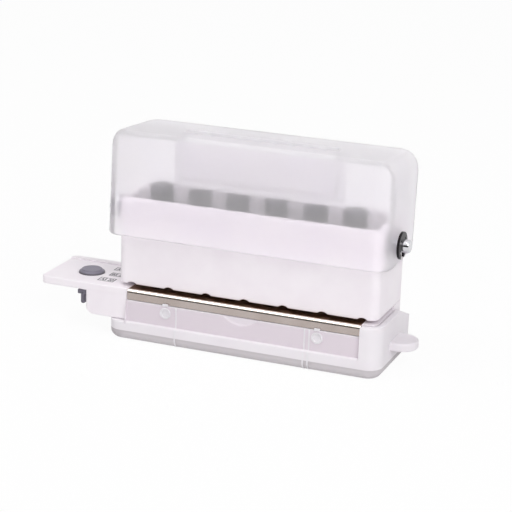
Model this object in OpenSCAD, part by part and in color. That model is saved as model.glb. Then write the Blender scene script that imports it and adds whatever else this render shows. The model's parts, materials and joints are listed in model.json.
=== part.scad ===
// Desk punch that cuts six holes at loose-leaf pitch, with a press handle, a chip tray and a side gauge.
// Millimetres. X runs along the row of pins, -Y is the paper side, +Z is up.
// The origin is the middle of the tray's underside.

/* [Holes] */
// Distance between neighbouring holes
hole_pitch = 9.5; // [9:0.1:9.8]
// Diameter of a punch pin
pin_d = 5.5; // [5:0.1:5.7]
// Distance from the edge of the paper to the hole centres
edge_margin = 6.5; // [6.2:0.1:7]
// Height of the paper slot
slot_h = 0.8; // [0.6:0.1:1.2]
// Height of the lower jaw, from the table to the top of the die
jaw_h = 12.4; // [12:0.1:14]
// Distance that the handle travels in a stroke
stroke = 2.7; // [2.5:0.1:2.9]

/* [Housing] */
// Length of the white housing
housing_l = 64; // [63:0.1:66]
// Front face of the housing ahead of the pin row
housing_front = 6.5; // [6:0.1:7]
// Rear face of the housing behind the pin row
housing_rear = 11.9; // [11.6:0.1:12]
// Height of the housing above the slot
housing_h = 20.8; // [20.2:0.1:22]
// Wall of the housing
housing_wall = 1.6; // [1.3:0.1:1.8]
// Radius of the housing's front upright corners
housing_corner = 2; // [1.9:0.1:3]
// Radius of the housing's rear upright corners
housing_rear_corner = 0.8; // [0.5:0.1:1.2]
// Chamfer round the housing's rim
rim_chamfer = 0.8; // [0.4:0.1:1.1]
// Thickness of the housing's floor
floor_t = 3.8; // [3.5:0.1:4.2]
// Width of a sight notch in the lower front edge
notch_w = 2.4; // [2:0.1:3.5]
// Height of a sight notch
notch_h = 0.45; // [0.35:0.05:0.8]
// Reach of a sight notch under the housing
notch_depth = 2.4; // [1:0.1:3]

/* [Pins and springs] */
// Height of the pins' tips above the slot's roof
tip_lift = 0.3; // [0.2:0.1:0.6]
// Height of the shaft's axis above the slot's roof
shaft_lift = 16.6; // [16.4:0.1:17.2]
// Height of the pins' tops above the shaft's axis
pin_top = 6.9; // [5:0.1:7.4]
// Height of the vee cut across a pin's tip
tip_cut = 0.9; // [0.4:0.1:1.4]
// Chamfer round a pin's top
pin_chamfer = 0.4; // [0.2:0.05:0.6]
// Thickness of the steel guide plate
guide_t = 1; // [0.6:0.1:1.2]
// Depth of the guide plate, front to rear
guide_depth = 9; // [8.4:0.1:10]
// Thickness of a pin's spring ring
ring_t = 0.7; // [0.5:0.1:0.8]
// Outer diameter of a pin's spring ring
ring_d = 8; // [7.8:0.1:8.4]
// Depth of the ring's groove in the pin
ring_groove = 0.4; // [0.3:0.05:0.6]
// Steel left between the ring's groove and the shaft's hole
ring_land = 0.4; // [0.2:0.05:0.6]
// Width of the split in a pin's spring ring
ring_split = 1.4; // [1:0.1:2]
// Diameter of the spring's wire
wire_d = 0.7; // [0.5:0.05:0.75]
// Mean diameter of the spring
spring_d = 6.9; // [6.8:0.1:7.2]
// Turns of the spring
spring_turns = 5.5; // [4:0.5:6]

/* [Shaft] */
// Diameter of the shaft through the pins
shaft_d = 3; // [2.7:0.1:3.2]
// Length of the shaft's end outside the handle
shaft_out = 2.7; // [2.4:0.1:4]
// Chamfer on the shaft's ends
shaft_chamfer = 0.5; // [0.2:0.05:0.8]
// Diameter of the groove for a clip
groove_d = 2.3; // [2:0.1:2.4]
// Outer diameter of a clip
clip_d = 6.3; // [5.5:0.1:7]
// Width of a clip's outer band
clip_band = 0.95; // [0.7:0.05:1.1]
// Thickness of a clip
clip_t = 0.6; // [0.4:0.1:0.8]

/* [Handle] */
// Wall of the cover
cover_wall = 1.4; // [1.2:0.1:1.8]
// Gap between the cover's ends and the housing
cover_end_gap = 0.8; // [0.6:0.05:1.2]
// Gap between the cover's front and the housing
cover_front_gap = 1; // [0.95:0.05:1.4]
// Rear face of the cover behind the shaft
cover_rear = 14.2; // [14.1:0.1:15]
// Reach of the cover's front edge below the shaft's axis
cover_drop = 4.9; // [4.6:0.1:6]
// Reach of the cover's rear edge below the shaft's axis
cover_rear_drop = 2.9; // [2.6:0.1:4]
// Height of the cover above the shaft's axis
cover_rise = 19.65; // [19:0.05:21]
// Radius of the cover's front upright corners
cover_corner = 3; // [2.2:0.1:4]
// Radius of the cover's rear upright corners
cover_rear_corner = 4; // [3:0.1:5]
// Radius of the cover's upper front edge
cover_edge = 1; // [0.6:0.1:1.8]
// Radius of the cover's upper rear edge
cover_rear_edge = 3; // [2:0.1:4]
// Radius of the cover's two upper end corners
cover_shoulder = 3.6; // [3:0.1:5]
// Angle that the cover leans back at rest
cover_lean = 3.7; // [1:0.1:4]
// Length of the pressing channel, which is open in the top
press_l = 39.6; // [34:0.1:44]
// Width of the pressing channel
press_w = 6.4; // [5.8:0.1:7]
// Wall of the pressing channel
press_wall = 1.2; // [1:0.1:1.5]
// Gap between the pressing channel and the pins' tops
press_gap = 0.5; // [0.45:0.05:0.8]

/* [Die] */
// Length of the die plate
die_l = 57.4; // [56.5:0.1:58]
// Thickness of the die plate
die_t = 1; // [0.8:0.1:1.2]
// Front face of the die's flange ahead of the pin row
die_front = 8.3; // [8:0.1:8.6]
// Height of the die's folded flange
flange_h = 2.4; // [2:0.1:2.6]
// Outside radius of the die's fold
fold_r = 0.9; // [0.6:0.05:1.5]

/* [Base] */
// Thickness of the deck under the die
deck_t = 2.5; // [2:0.1:3]
// Height of the base from its underside to the top of the die
base_h = 7.4; // [7.2:0.1:7.6]
// Wall of the base's skirt
skirt_t = 1.5; // [1.2:0.1:1.8]
// Radius of the base's front right corner
base_corner = 2.2; // [2:0.1:3]
// Diameter of a chip hole below the die
chip_d = 6.4; // [6.2:0.1:6.5]
// Diameter of a frame screw's shank
screw_d = 1.9; // [1.6:0.1:2]
// Length of a frame screw under its head
screw_l = 7; // [6:0.1:7.3]
// Diameter of a frame screw's head
screw_head_d = 3.2; // [2.8:0.1:3.3]
// Height of a frame screw's head
screw_head_h = 1.3; // [1:0.1:1.6]
// Length of the cross in a screw's head
cross_l = 2; // [1.6:0.1:2.4]
// Width of the cross
cross_w = 0.5; // [0.4:0.05:0.7]
// Depth of the cross
cross_depth = 0.7; // [0.5:0.05:0.9]
// Distance between neighbouring frame screws
screw_pitch = 17; // [14:0.1:18]

/* [Tray] */
// Gap between the tray's ends and the base
tray_end_gap = 0.35; // [0.3:0.01:0.5]
// Rear face of the tray behind the pin row
tray_rear = 15.3; // [15:0.1:17]
// Wall of the tray
tray_wall = 1.3; // [1:0.05:1.5]
// Thickness of the tray's bottom
tray_floor = 1.4; // [1:0.1:2]
// Radius of the tray's bottom edges
tray_edge = 2; // [1.8:0.1:2.5]
// Radius of the tray's front upright corners
tray_corner = 3.5; // [3:0.1:4]
// Radius of the tray's rear upright corners
tray_rear_corner = 2; // [1.8:0.1:3]
// Radius of the tray's rear shoulder
tray_shoulder = 2.6; // [2:0.1:3]
// Height of the shoulder's centre
shoulder_z = 6.9; // [6:0.1:7.5]
// Height where the recessed front panel starts
panel_z = 4.75; // [4:0.05:6]
// Depth of the recessed front panel
panel_depth = 0.7; // [0.4:0.05:1]
// Thickness of the recessed front panel
panel_t = 1; // [0.8:0.05:1.1]
// Panel's face ahead of the die's flange
panel_lead = 0.3; // [0.1:0.05:0.5]
// Distance of the two round pads from the middle
pad_x = 18.75; // [18.2:0.05:22]
// Diameter of a round pad
pad_d = 3; // [2:0.1:3.2]
// Height of a round pad on the panel
pad_t = 0.3; // [0.15:0.05:0.4]
// Width of the catch above a round pad
catch_w = 2.4; // [1.6:0.1:2.8]
// Reach of the catch over the die's flange
catch_h = 0.55; // [0.3:0.05:0.9]
// Distance of the two upright ribs from the middle
rib_x = 16; // [12:0.1:16.5]
// Thickness of an upright rib
rib_t = 0.9; // [0.6:0.1:1.2]
// Width of the thumb scoop at the rim
scoop_w = 9; // [6:0.1:12]
// Height of the thumb scoop below the rim
scoop_h = 1.9; // [1:0.1:2.4]
// Depth of the thumb scoop in the panel
scoop_depth = 0.4; // [0.2:0.05:0.6]
// Length of the pull tab
tab_l = 5.5; // [5:0.1:7]
// Width of the pull tab
tab_w = 8; // [7:0.1:10]
// Thickness of the pull tab
tab_t = 2; // [1.6:0.1:2.4]
// Height of the pull tab's underside
tab_z = 4.9; // [4:0.1:5]

/* [Gauge] */
// Length of the gauge arm's plate
arm_l = 22.9; // [21:0.1:24]
// Thickness of the arm's plate
arm_t = 1.9; // [1.6:0.1:2]
// Radius of the arm's two outer corners
arm_corner = 1.5; // [0.5:0.1:2]
// Front edge of the arm ahead of the pin row
arm_front = 8; // [7.6:0.1:8.3]
// Distance of the fence's face behind the slot's back
fence_set = 1; // [0.8:0.1:1.2]
// Width of the fence along the arm's rear edge
fence_w = 2; // [1.6:0.1:2.2]
// Height of the fence
fence_h = 0.3; // [0.2:0.05:0.6]
// Length of the block under the arm's plate
block_l = 10.9; // [10:0.1:11]
// Height of the block, with the plate
block_h = 7.7; // [6.8:0.1:7.7]
// Wall of the block
block_wall = 1.4; // [1:0.1:1.8]
// Radius of the block's lower outer corner
block_corner = 2; // [1:0.1:2.5]
// Distance of the button from the first hole
button_out = 18.35; // [18:0.05:19]
// Diameter of the button
button_d = 6.2; // [5.8:0.1:6.4]
// Height of the button above the arm
button_h = 0.9; // [0.7:0.1:1.4]
// Diameter of the button's flat top
button_top_d = 5; // [4:0.1:5.2]
// Height of the button's upright rim above the arm
button_rim = 0.2; // [0.1:0.05:0.6]
// Depth of the button's cap below the arm's top
button_skirt = 1.2; // [1:0.1:1.3]
// Wall of the cup that holds the button
cup_wall = 0.9; // [0.7:0.1:1]
// Depth of the cup below the arm's plate
cup_depth = 1.5; // [1.4:0.1:1.8]
// Thickness of the cup's floor
cup_floor = 0.4; // [0.3:0.05:0.45]
// Diameter of the button's stem
stem_d = 3; // [2.4:0.1:3.2]
// Reach of the button's hook towards the arm's end
hook_reach = 3.4; // [3:0.1:4]
// Thickness of the hook
hook_t = 1.1; // [0.8:0.1:1.2]
// Width of the hook, front to rear
hook_w = 2; // [1.4:0.1:2.4]
// Length of the hook, from the bar down
hook_l = 3.5; // [2.4:0.1:4]
// Distance of the hook's inner face from the button's axis
hook_out = 1.55; // [1.2:0.05:1.8]
// Distance of the hook's bar below the cup
hook_drop = 1.2; // [1:0.1:1.6]
// Diameter of the wire in the button's spring
button_wire = 0.3; // [0.2:0.05:0.3]
// Mean diameter of the button's spring
button_spring_d = 4.5; // [4.3:0.1:4.6]
// Width of the tongue that slides in the base
tongue_w = 2; // [1.6:0.1:2.2]
// Height of the tongue
tongue_h = 2.2; // [1.6:0.1:2.4]
// Length of the tongue inside the base
tongue_l = 17; // [14:0.1:18]
// Distance of the tongue's front face ahead of the slot's back
tongue_lead = 2.3; // [2.2:0.1:2.4]
// Wall of the tunnel that the tongue slides in
tunnel_wall = 0.8; // [0.6:0.05:0.9]

/* [Fits] */
// Radial clearance of a round running fit
run_fit = 0.05; // [0.03:0.01:0.08]
// Clearance between flat sliding faces
slide_fit = 0.15; // [0.1:0.01:0.2]
// Gap between moulded pieces that don't touch
part_gap = 0.3; // [0.25:0.01:0.35]

/* [Hidden] */
$fn = 64;
pin_count = 6;
button_turns = 2;
screw_count = 4;
cut = 1;
curl_rings = 8;
wire_sides = 6;
spring_lift = 0.05;

pin_setback = die_front + panel_lead + panel_depth;
tray_y = (pin_setback + tray_rear) / 2;
pin_y = pin_setback - tray_y;
slot_back = pin_y + edge_margin;
row = [for (i = [0 : pin_count - 1]) (i - (pin_count - 1) / 2) * hole_pitch];

housing_x = housing_l / 2;
housing_y0 = pin_y - housing_front;
housing_y1 = pin_y + housing_rear;
housing_z = jaw_h + slot_h;
housing_top = housing_z + housing_h;
floor_z = housing_z + floor_t;
shaft_z = housing_z + shaft_lift;
tip_z = housing_z + tip_lift;
pin_z = shaft_z + pin_top;
ring_z = shaft_z - shaft_d / 2 - run_fit - ring_land - ring_t;
spring_z = floor_z + guide_t + spring_lift;
spring_l = ring_z - spring_lift - spring_z;

cover_x = housing_x + cover_end_gap + cover_wall;
cover_front = housing_front + cover_front_gap + cover_wall;
clip_x = cover_x + part_gap;
shaft_x = cover_x + shaft_out;

die_x = die_l / 2;
deck_z = jaw_h - die_t;
base_z = jaw_h - base_h;
deck_under = deck_z - deck_t;
base_front = pin_y - die_front + die_t;
screw_y = (slot_back + housing_y1) / 2;
screws = [for (i = [0 : screw_count - 1]) (i - (screw_count - 1) / 2) * screw_pitch];

tray_x = housing_x + tray_end_gap + tray_wall;
tray_rim = jaw_h - slide_fit;
panel_x = die_x + slide_fit;
panel_top = jaw_h - flange_h - slide_fit;
panel_face = panel_depth - tray_y;
tray_inner = panel_face + panel_t;

arm_right = -die_x - slide_fit;
arm_left = arm_right - arm_l;
arm_y = pin_y - arm_front;
fence_y = slot_back + fence_set;
arm_rear = fence_y + fence_w;
arm_under = jaw_h - arm_t;
block_left = arm_right - block_l;
block_z = jaw_h - block_h;
button = [row[0] - button_out, pin_y];
cup_z = arm_under - cup_depth;
cap_z = jaw_h - button_skirt;
hook_top = cup_z - hook_drop;
button_spring_z = cup_z + cup_floor + spring_lift;
button_spring_l = cap_z - spring_lift - button_spring_z;
tongue_y = slot_back - tongue_lead;
tongue_top = deck_under - slide_fit;

white = [0.93, 0.91, 0.93];
frosted = [0.88, 0.87, 0.9, 0.5];
milky = [0.85, 0.83, 0.86, 0.7];
nickel = [0.77, 0.74, 0.7];
dark_steel = [0.3, 0.29, 0.32];
bright_steel = [0.82, 0.82, 0.84];
black_steel = [0.15, 0.14, 0.15];
button_grey = [0.38, 0.37, 0.42];

// Points on the centre line of a helical wire, standing on z = 0
function helix(d, wire, l, turns) = [
    for (k = [0 : turns * curl_rings])
        let (a = 360 * k / curl_rings, rise = (l - wire) * k / (turns * curl_rings))
            [d / 2 * cos(a), d / 2 * sin(a), wire / 2 + rise]];

// Least gap between two stretches of a wire that lie more than half a turn apart
function self_gap(line, wire) = min([
    for (i = [0 : len(line) - 1])
        for (j = [i + curl_rings / 2 : 1 : len(line) - 1])
            norm(line[j] - line[i])]) - wire;

// Solid box between two opposite corners
module box(lo, hi) {
    translate(lo)
        cube(hi - lo);
}

// Upright cylinder at a point of the plan
module post(d, at, z0, z1) {
    translate([at[0], at[1], z0])
        cylinder(d = d, h = z1 - z0);
}

// Cylinder along X at the shaft's axis
module on_shaft(d, x0, x1, drop = 0) {
    translate([x0, pin_y, shaft_z - drop])
        rotate([0, 90, 0])
            cylinder(d = d, h = x1 - x0);
}

// Outline drawn in Y and Z, carried along X
module carry_x(x0, x1) {
    translate([x0, 0, 0])
        rotate([90, 0, 90])
            linear_extrude(x1 - x0)
                children();
}

// Outline drawn in X and Z, carried along Y
module carry_y(y0, y1) {
    translate([0, y1, 0])
        rotate([90, 0, 0])
            linear_extrude(y1 - y0)
                children();
}

// Outline drawn in X and Y, carried up
module carry_z(z0, z1) {
    translate([0, 0, z0])
        linear_extrude(z1 - z0)
            children();
}

// Rectangle with a radius at each corner: lower left, lower right, upper right, upper left
module rounded(lo, hi, r) {
    centres = [
        [lo[0] + r[0], lo[1] + r[0]],
        [hi[0] - r[1], lo[1] + r[1]],
        [hi[0] - r[2], hi[1] - r[2]],
        [lo[0] + r[3], hi[1] - r[3]]];
    intersection() {
        translate(lo)
            square(hi - lo);
        union() {
            polygon([
                [lo[0], centres[0][1]], [centres[0][0], lo[1]],
                [centres[1][0], lo[1]], [hi[0], centres[1][1]],
                [hi[0], centres[2][1]], [centres[2][0], hi[1]],
                [centres[3][0], hi[1]], [lo[0], centres[3][1]]]);
            for (i = [0 : 3])
                if (r[i] > 0)
                    translate(centres[i])
                        circle(r = r[i]);
        }
    }
}

// Rectangle with its two upper corners cut at 45 degrees
module chamfered(lo, hi, c) {
    polygon([lo, [hi[0], lo[1]], [hi[0], hi[1] - c], [hi[0] - c, hi[1]],
        [lo[0] + c, hi[1]], [lo[0], hi[1] - c]]);
}

// Helical wire spring that stands at a point
module coil_spring(at, d, wire, l, turns) {
    line = helix(d, wire, l, turns);
    rings = len(line);
    echo(least_self_gap = self_gap(line, wire));
    points = [
        for (k = [0 : rings - 1])
            for (s = [0 : wire_sides - 1])
                let (a = 360 * k / curl_rings, b = 360 * s / wire_sides)
                    line[k] + wire / 2 * [cos(a) * cos(b), sin(a) * cos(b), sin(b)]];
    sides = [
        for (k = [0 : rings - 2])
            for (s = [0 : wire_sides - 1])
                let (i = k * wire_sides + s, j = k * wire_sides + (s + 1) % wire_sides)
                    each [[i, i + wire_sides, j], [j, i + wire_sides, j + wire_sides]]];
    last = (rings - 1) * wire_sides;
    caps = [
        for (s = [1 : wire_sides - 2])
            each [[0, s, s + 1], [last, last + s + 1, last + s]]];
    translate(at)
        polyhedron(points, concat(sides, caps));
}

// Side outline of the tray, drawn in by its wall: a straight front, round bottom edges and a rear shoulder
module tray_side(wall, bottom, front) {
    r = tray_shoulder - wall;
    edge = tray_edge - wall;
    centre = [tray_y - tray_shoulder, shoulder_z];
    start = [slot_back, tray_rim - wall];
    reach = start - centre;
    turn = atan2(reach[1], reach[0]) - acos(r / norm(reach));
    touch = centre + r * [cos(turn), sin(turn)];
    rounded([front, bottom], [centre[0] + r, shoulder_z], [edge, edge, 0, 0]);
    polygon([[front, panel_z], [centre[0] + r, panel_z], [centre[0] + r, shoulder_z], touch,
        start, [front, start[1]]]);
    translate(centre)
        circle(r = r);
}

// Body of the tray, drawn in by a wall
module tray_body(wall, bottom, front) {
    x = tray_x - wall;
    edge = tray_edge - wall;
    front_r = tray_corner - wall;
    rear_r = tray_rear_corner - wall;
    intersection() {
        carry_z(bottom, jaw_h)
            rounded([-x, front], [x, tray_y - wall], [front_r, front_r, rear_r, rear_r]);
        carry_x(-x, x)
            tray_side(wall, bottom, front);
        carry_y(front, tray_y - wall)
            rounded([-x, bottom], [x, jaw_h], [edge, edge, 0, 0]);
    }
}

// Hollow tray with its mouth, its lower front rim, its recessed panel and the way for the gauge arm
module tray_shell() {
    mouth_x = tray_x - tray_wall;
    difference() {
        tray_body(0, 0, -tray_y);
        tray_body(tray_wall, tray_floor, tray_inner);
        carry_z(shoulder_z, jaw_h + cut)
            rounded([-mouth_x, tray_inner], [mouth_x, housing_y1 + slide_fit],
                [tray_corner - tray_wall, tray_corner - tray_wall, 0, 0]);
        box([-panel_x, -tray_y - cut, panel_top], [panel_x, tray_inner + cut, jaw_h + cut]);
        box([-panel_x, -tray_y - cut, panel_z], [panel_x, panel_face, jaw_h + cut]);
        box([-tray_x - cut, -tray_y - cut, block_z - part_gap],
            [arm_right + slide_fit, arm_rear + part_gap, jaw_h + cut]);
    }
}

// Round pads with their catches outside the front panel, and upright ribs inside it
module panel_details() {
    for (side = [-1, 1]) {
        translate([side * pad_x, panel_face + panel_t / 2, panel_top - pad_d / 2 - pad_t])
            rotate([90, 0, 0])
                cylinder(d = pad_d, h = panel_t / 2 + pad_t);
        translate([side * pad_x, 0, 0])
            carry_y(panel_face - pad_t, panel_face)
                rounded([-catch_w / 2, panel_top - pad_d / 2],
                    [catch_w / 2, panel_top + slide_fit + catch_h], [0, 0, catch_h, catch_h]);
        box([side * rib_x - rib_t / 2, tray_inner - panel_t / 2, tray_floor / 2],
            [side * rib_x + rib_t / 2, base_front - slide_fit, panel_top]);
    }
}

module chip_tray() {
    scoop_r = (pow(scoop_w / 2, 2) + pow(scoop_h, 2)) / (2 * scoop_h);
    color(milky)
        difference() {
            union() {
                tray_shell();
                panel_details();
                carry_z(tab_z, tab_z + tab_t)
                    rounded([tray_x - tray_wall / 2, -tab_w / 2], [tray_x + tab_l, tab_w / 2],
                        [0, tab_w / 2, tab_w / 2, 0]);
            }
            translate([0, panel_face + scoop_depth, panel_top - scoop_h + scoop_r])
                rotate([90, 0, 0])
                    cylinder(r = scoop_r, h = panel_depth + scoop_depth + cut);
        }
}

// Plan of the base: the deck up to the left edge of the die, and the spine behind the gauge arm
module base_plan() {
    rounded([-die_x, base_front], [housing_x, housing_y1], [0, base_corner, housing_rear_corner, 0]);
    intersection() {
        rounded([-housing_x, base_front], [0, housing_y1], [0, 0, 0, housing_rear_corner]);
        translate([-housing_x, arm_rear + part_gap])
            square([housing_x, housing_y1 - arm_rear - part_gap]);
    }
}

module base_frame() {
    tunnel_end = -die_x + tongue_l + part_gap;
    tunnel_y = tongue_y - slide_fit;
    tunnel_z = tongue_top - tongue_h - slide_fit;
    color(white)
        difference() {
            union() {
                carry_z(deck_under, deck_z)
                    base_plan();
                carry_z(base_z, deck_under + deck_t / 2)
                    difference() {
                        base_plan();
                        translate([skirt_t - die_x, base_front + skirt_t])
                            square([housing_x + die_x - 2 * skirt_t, slot_back - base_front - skirt_t]);
                    }
                carry_z(deck_z - deck_t / 2, housing_z)
                    intersection() {
                        base_plan();
                        translate([-housing_x, slot_back])
                            square([housing_l, housing_y1 - slot_back]);
                    }
                carry_z(deck_z - deck_t / 2, jaw_h)
                    intersection() {
                        base_plan();
                        translate([die_x, base_front])
                            square([housing_x - die_x, slot_back + cut - base_front]);
                    }
                box([-die_x, tunnel_y - tunnel_wall, tunnel_z - tunnel_wall],
                    [tunnel_end, slot_back + cut, deck_under + deck_t / 2]);
            }
            for (x = row)
                post(chip_d, [x, pin_y], base_z - cut, deck_z + cut);
            for (x = screws) {
                post(screw_d + 2 * run_fit, [x, screw_y], deck_under - cut, housing_z + cut);
                post(screw_head_d + part_gap, [x, screw_y], base_z - cut, deck_under);
            }
            box([-die_x - cut, tunnel_y, tunnel_z],
                [tunnel_end, tongue_y + tongue_w + slide_fit, deck_under]);
        }
}

module die_plate() {
    front = pin_y - die_front;
    color(nickel)
        difference() {
            carry_x(-die_x, die_x) {
                translate([front + fold_r, deck_z])
                    square([slot_back - front - fold_r, die_t]);
                translate([front, jaw_h - flange_h])
                    square([die_t, flange_h - fold_r]);
                intersection() {
                    translate([front + fold_r, jaw_h - fold_r])
                        circle(r = fold_r);
                    translate([front, jaw_h - fold_r])
                        square([fold_r, fold_r]);
                }
                translate([front + fold_r, jaw_h - fold_r])
                    square([die_t, fold_r]);
            }
            for (x = row)
                post(pin_d + 2 * run_fit, [x, pin_y], deck_z - cut, jaw_h + cut);
        }
}

module housing() {
    inner_r = housing_corner - housing_wall;
    rear_r = max(housing_rear_corner - housing_wall, 0);
    wall_x = housing_x - housing_wall;
    notch_r = (pow(notch_w / 2, 2) + pow(notch_h, 2)) / (2 * notch_h);
    notch_z = housing_z + notch_h - notch_r;
    slot_w = shaft_d + 2 * slide_fit;
    color(white)
        difference() {
            intersection() {
                carry_z(housing_z, housing_top)
                    rounded([-housing_x, housing_y0], [housing_x, housing_y1],
                        [housing_corner, housing_corner, housing_rear_corner, housing_rear_corner]);
                carry_x(-housing_x, housing_x)
                    chamfered([housing_y0, housing_z], [housing_y1, housing_top], rim_chamfer);
                carry_y(housing_y0, housing_y1)
                    chamfered([-housing_x, housing_z], [housing_x, housing_top], rim_chamfer);
            }
            carry_z(floor_z, housing_top + cut)
                rounded([-wall_x, housing_y0 + housing_wall], [wall_x, housing_y1 - housing_wall],
                    [inner_r, inner_r, rear_r, rear_r]);
            for (x = row)
                post(pin_d + 2 * run_fit, [x, pin_y], housing_z - cut, floor_z + cut);
            for (i = [0 : pin_count])
                translate([(i - pin_count / 2) * hole_pitch, housing_y0 + notch_depth, notch_z])
                    rotate([90, 0, 0])
                        cylinder(r = notch_r, h = notch_depth + cut);
            for (drop = [0, stroke])
                on_shaft(slot_w, -housing_x - cut, housing_x + cut, drop);
            box([-housing_x - cut, pin_y - slot_w / 2, shaft_z - stroke],
                [housing_x + cut, pin_y + slot_w / 2, shaft_z]);
            for (x = screws)
                post(screw_d + 2 * run_fit, [x, screw_y], housing_z - cut, deck_under + screw_l + part_gap);
        }
}

module guide_plate() {
    x = housing_x - housing_wall - part_gap;
    front = housing_y0 + housing_wall + part_gap;
    color(nickel)
        difference() {
            box([-x, front, floor_z], [x, front + guide_depth, floor_z + guide_t]);
            for (i = row)
                post(pin_d + 2 * run_fit, [i, pin_y], floor_z - cut, floor_z + guide_t + cut);
        }
}

module frame_screws() {
    head_z = deck_under - screw_head_h;
    color(bright_steel)
        for (x = screws)
            difference() {
                union() {
                    post(screw_d, [x, screw_y], deck_under - screw_head_h / 2, deck_under + screw_l);
                    post(screw_head_d, [x, screw_y], head_z, deck_under);
                }
                translate([x, screw_y, head_z - cut])
                    linear_extrude(cut + cross_depth) {
                        square([cross_l, cross_w], center = true);
                        square([cross_w, cross_l], center = true);
                    }
            }
}

// One pin: a vee cut across its tip, a groove for its spring ring and a cross hole for the shaft
module punch_pin(i) {
    r = pin_d / 2;
    color(dark_steel)
        difference() {
            translate([row[i], pin_y, 0])
                rotate_extrude()
                    polygon([[0, tip_z], [r, tip_z], [r, ring_z], [r - ring_groove, ring_z],
                        [r - ring_groove, ring_z + ring_t], [r, ring_z + ring_t],
                        [r, pin_z - pin_chamfer], [r - pin_chamfer, pin_z], [0, pin_z]]);
            translate([row[i], 0, 0])
                carry_y(pin_y - pin_d, pin_y + pin_d)
                    polygon([[-r - cut, tip_z - cut * tip_cut / r], [r + cut, tip_z - cut * tip_cut / r],
                        [0, tip_z + tip_cut]]);
            on_shaft(shaft_d + 2 * run_fit, row[i] - pin_d, row[i] + pin_d);
        }
}

// Split rings in the pins' grooves, which the springs push up
module pin_rings() {
    bore_r = pin_d / 2 - ring_groove + run_fit;
    color(bright_steel)
        for (x = row)
            translate([x, pin_y, ring_z])
                linear_extrude(ring_t)
                    difference() {
                        circle(d = ring_d);
                        circle(r = bore_r);
                        translate([-ring_split / 2, 0])
                            square([ring_split, ring_d]);
                    }
}

module return_spring(i) {
    color(bright_steel)
        coil_spring([row[i], pin_y, spring_z], spring_d, wire_d, spring_l, spring_turns);
}

module press_shaft() {
    groove = clip_t + 2 * run_fit;
    end = clip_x + groove;
    color(bright_steel) {
        on_shaft(shaft_d, -clip_x, clip_x);
        on_shaft(groove_d, -end - cut / 2, end + cut / 2);
        for (side = [0, 1])
            translate([0, pin_y, shaft_z])
                mirror([side, 0, 0])
                    rotate([0, 90, 0]) {
                        translate([0, 0, end])
                            cylinder(d = shaft_d, h = shaft_x - shaft_chamfer - end);
                        translate([0, 0, shaft_x - shaft_chamfer])
                            cylinder(d1 = shaft_d, d2 = shaft_d - 2 * shaft_chamfer, h = shaft_chamfer);
                    }
    }
}

// Retaining clip: an outer band that is open below, with three lugs that reach into the groove
module shaft_clip(x, tone) {
    band = clip_d - 2 * clip_band;
    color(tone)
        translate([x, pin_y, shaft_z])
            rotate([90, 0, 90])
                linear_extrude(clip_t)
                    difference() {
                        circle(d = clip_d);
                        difference() {
                            circle(d = band);
                            translate([-clip_d / 2, -groove_d / 2])
                                square([clip_d, groove_d]);
                            translate([-groove_d / 2, 0])
                                square([groove_d, clip_d]);
                        }
                        circle(d = groove_d + 2 * run_fit);
                        translate([-groove_d / 2 - run_fit, -clip_d])
                            square([groove_d + 2 * run_fit, clip_d]);
                    }
}

// Body of the cover about the shaft's axis, drawn in by a wall
module cover_body(wall, low) {
    x = cover_x - wall;
    front = wall - cover_front;
    rear = cover_rear - wall;
    top = cover_rise - wall;
    corner = cover_corner - wall;
    rear_corner = cover_rear_corner - wall;
    edge = max(cover_edge - wall, 0);
    rear_edge = cover_rear_edge - wall;
    shoulder = cover_shoulder - wall;
    intersection() {
        carry_z(low, top)
            rounded([-x, front], [x, rear], [corner, corner, rear_corner, rear_corner]);
        carry_x(-x, x)
            rounded([front, low], [rear, top], [0, 0, rear_edge, edge]);
        carry_y(front, rear)
            rounded([-x, low], [x, top], [0, 0, shoulder, shoulder]);
    }
}

module handle_cover() {
    inside = cover_rise - cover_wall;
    channel = [press_l / 2, press_w / 2];
    hollow = channel - [press_wall, press_wall];
    press_z = pin_top + press_gap;
    tilt = (cover_drop - cover_rear_drop) / (cover_front + cover_rear);
    color(frosted)
        translate([0, pin_y, shaft_z])
            rotate([-cover_lean, 0, 0])
                difference() {
                    union() {
                        difference() {
                            cover_body(0, -cover_drop);
                            cover_body(cover_wall, -cover_drop - cut);
                        }
                        box([-channel[0], -channel[1], press_z],
                            [channel[0], channel[1], inside + cover_wall / 4]);
                    }
                    box([-hollow[0], -hollow[1], press_z + press_wall],
                        [hollow[0], hollow[1], cover_rise + cut]);
                    carry_x(-cover_x - cut, cover_x + cut)
                        polygon([[-cover_front - cut, -cover_drop - cut * tilt],
                            [-cover_front - cut, -cover_drop - 2 * cut],
                            [cover_rear + cut, -cover_drop - 2 * cut],
                            [cover_rear + cut, -cover_rear_drop + cut * tilt]]);
                    translate([-cover_x - cut, 0, 0])
                        rotate([0, 90, 0])
                            cylinder(d = shaft_d + 2 * run_fit, h = 2 * (cover_x + cut));
                }
}

// Plan of the gauge arm's plate
module arm_plan() {
    rounded([arm_left, arm_y], [arm_right, arm_rear], [arm_corner, 0, 0, arm_corner]);
}

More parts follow.
